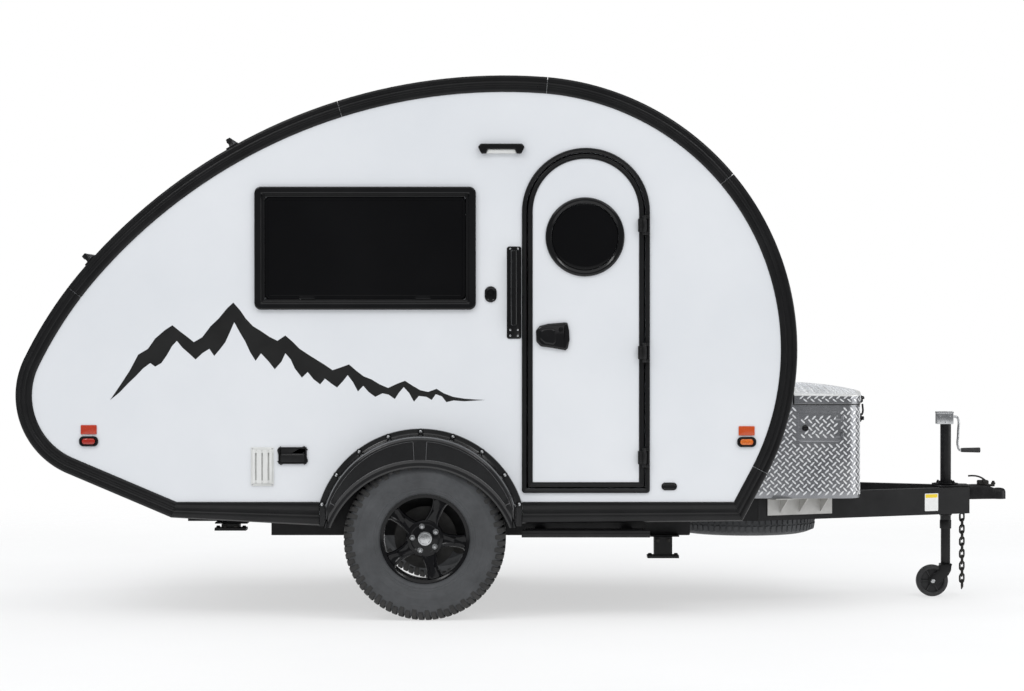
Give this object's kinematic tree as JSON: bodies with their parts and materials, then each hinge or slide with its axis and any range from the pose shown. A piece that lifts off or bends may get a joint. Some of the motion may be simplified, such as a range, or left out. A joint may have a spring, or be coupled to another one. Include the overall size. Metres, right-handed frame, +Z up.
{
  "type": "teardrop travel trailer",
  "caption": "Single-axle teardrop camping trailer with an arched side door, side windows, fender flares, front storage tub, drawbar with ball coupler and a caster-wheel tongue jack.",
  "frame": {"origin": "on the floor, at the middle of the overall length and width", "axes": "+X forward towards the coupler, +Y to the trailer's left side, +Z up; the entry door is on the right side, facing -Y"},
  "size_m": [4.6376, 2.21, 2.5009],
  "materials": {
    "white_panel": "gloss",
    "chassis_paint": "satin",
    "axle_paint": "satin",
    "floor_board": "matt",
    "black_moulding": "satin",
    "window_frame": "gloss",
    "tinted_pane": "gloss",
    "black_plastic": "satin",
    "white_plastic": "satin",
    "smoked_plastic": "gloss",
    "red_lens": "gloss",
    "amber_lens": "gloss",
    "blank_plate": "satin",
    "bright_steel": "satin",
    "dark_steel": "satin",
    "solid_rubber": "matt",
    "tread_sheet": "bright",
    "wheel_paint": "gloss",
    "tyre_rubber": "matt"
  },
  "bodies": {
    "trailer": {"frame_rails": "chassis_paint", "cross_members": "chassis_paint", "tongue_rails": "chassis_paint", "riser_rails": "chassis_paint", "axle_beam": "axle_paint", "axle_arms": "axle_paint", "floor_panel": "floor_board", "right_wall": "white_panel", "left_wall": "white_panel", "front_panel": "white_panel", "roof_panel": "white_panel", "rear_panel": "white_panel", "right_edge_trim": "black_moulding", "left_edge_trim": "black_moulding", "right_sill": "black_moulding", "left_sill": "black_moulding", "right_fender": "black_moulding", "left_fender": "black_moulding", "wheel_boxes": "chassis_paint", "right_window": "window_frame", "right_window_pane": "tinted_pane", "left_window": "window_frame", "left_window_pane": "tinted_pane", "rear_window": "window_frame", "rear_window_pane": "tinted_pane", "door_frame": "black_moulding", "door_hinges": "chassis_paint", "grab_handle": "black_plastic", "porch_light": "black_plastic", "side_fittings": "black_plastic", "vent_cover": "white_plastic", "marker_lamps": "black_plastic", "red_lenses": "red_lens", "amber_lenses": "amber_lens", "tail_lamps": "red_lens", "number_plate": "blank_plate", "rear_crossbars": "chassis_paint", "roof_vent": "white_plastic", "entry_step": "chassis_paint", "stabilisers": "chassis_paint", "water_tank": "black_plastic", "coupler": "chassis_paint", "tongue_jack": "chassis_paint", "jack_crank": "bright_steel", "safety_chains": "dark_steel", "storage_tub": "tread_sheet", "tub_brackets": "bright_steel", "spare_wheel": "tyre_rubber"},
    "right_road_wheel": {"right_wheel": "wheel_paint", "right_tyre": "tyre_rubber"},
    "left_road_wheel": {"left_wheel": "wheel_paint", "left_tyre": "tyre_rubber"},
    "entry_door": {"door": "white_panel", "door_pane": "tinted_pane", "door_handle": "black_plastic"},
    "tub_lid_body": {"tub_lid": "tread_sheet"},
    "tub_side_door": {"tub_door": "tread_sheet"},
    "caster_fork": {"jack_fork": "chassis_paint"},
    "caster_wheel": {"jack_wheel": "solid_rubber"},
    "vent_lid": {"roof_vent_lid": "smoked_plastic"}
  },
  "joints": [
    {"name": "right_wheel_spin", "type": "hinge", "parent": "trailer", "child": "right_road_wheel", "pos_m": [-0.47579, -0.9725, 0.364], "axis": [0, 1, 0], "continuous": true},
    {"name": "left_wheel_spin", "type": "hinge", "parent": "trailer", "child": "left_road_wheel", "pos_m": [-0.47579, 0.9725, 0.364], "axis": [0, 1, 0], "continuous": true},
    {"name": "door_swing", "type": "hinge", "parent": "trailer", "child": "entry_door", "pos_m": [0.51021, -1.021, 1.2], "axis": [0, 0, 1], "range_deg": [0, 160]},
    {"name": "tub_lid_lift", "type": "hinge", "parent": "trailer", "child": "tub_lid_body", "pos_m": [1.21879, 0, 1.031], "axis": [0, -1, 0], "range_deg": [0, 75]},
    {"name": "tub_door_swing", "type": "hinge", "parent": "trailer", "child": "tub_side_door", "pos_m": [1.44879, -0.607, 0.849], "axis": [0, 0, 1], "range_deg": [0, 100]},
    {"name": "caster_swivel", "type": "hinge", "parent": "trailer", "child": "caster_fork", "pos_m": [2.02679, 0, 0.16], "axis": [0, 0, 1], "range_deg": [-120, 120]},
    {"name": "caster_spin", "type": "hinge", "parent": "caster_fork", "child": "caster_wheel", "pos_m": [1.96079, 0, 0.077], "axis": [0, 1, 0], "continuous": true},
    {"name": "vent_lid_lift", "type": "hinge", "parent": "trailer", "child": "vent_lid", "pos_m": [-0.58075, 0, 2.43651], "axis": [0, -1, 0], "range_deg": [0, 70]}
  ]
}
